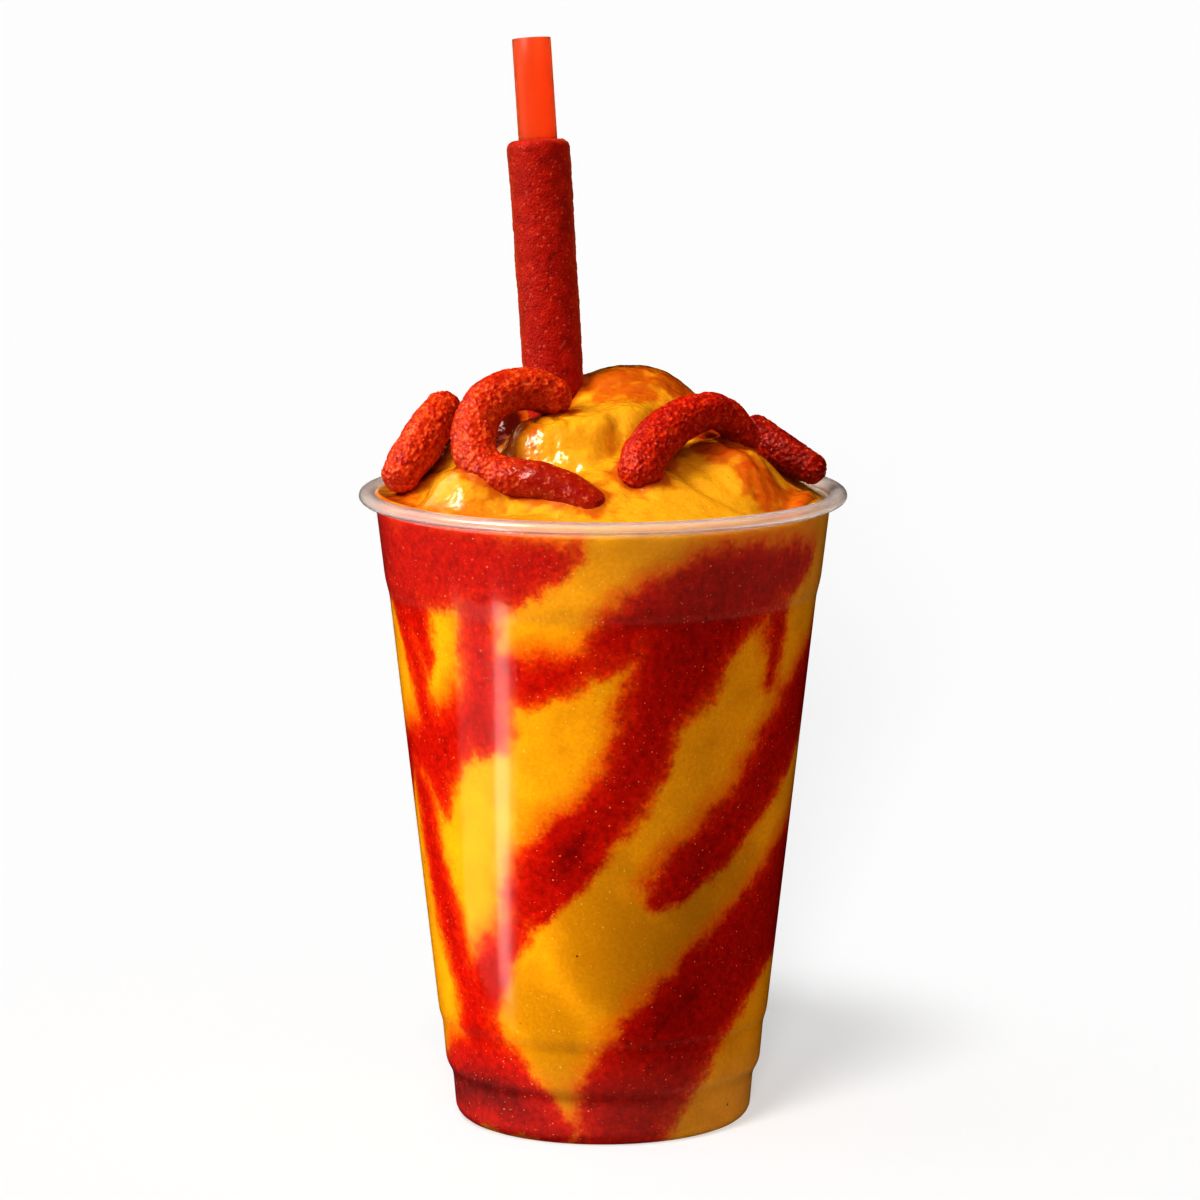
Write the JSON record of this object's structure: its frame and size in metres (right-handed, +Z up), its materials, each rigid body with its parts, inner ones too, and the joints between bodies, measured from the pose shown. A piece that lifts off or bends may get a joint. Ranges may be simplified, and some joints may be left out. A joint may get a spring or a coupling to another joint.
{
  "type": "cup of mango chamoy smoothie",
  "caption": "Clear plastic cup heaped with mango smoothie and swirls of red chamoy sauce, topped with curled chilli candy worms and a straw coated in tamarind candy.",
  "frame": {"origin": "middle of the cup's foot, on the surface that the cup stands on", "axes": "+Z up along the cup's axis, -Y towards the side with the arched and curled candy, +X to that side's right"},
  "size_m": [0.098, 0.098, 0.2183],
  "materials": {
    "clear_plastic": "clear thin thermoformed polyester, glossy",
    "smoothie": "thick blended mango with red chamoy swirls, moist",
    "straw_plastic": "extruded orange red polypropylene, glossy",
    "tamarind_candy": "fine grained tamarind and chilli paste, dry to slightly moist",
    "chilli_candy": "soft candy crusted in red chilli sugar, moist below"
  },
  "bodies": {
    "root": {"cup": "clear_plastic", "smoothie": "smoothie", "straw": "straw_plastic", "straw_coating": "tamarind_candy", "worm_curled": "chilli_candy", "worm_left": "chilli_candy", "worm_arched": "chilli_candy", "worm_right": "chilli_candy"}
  },
  "joints": []
}
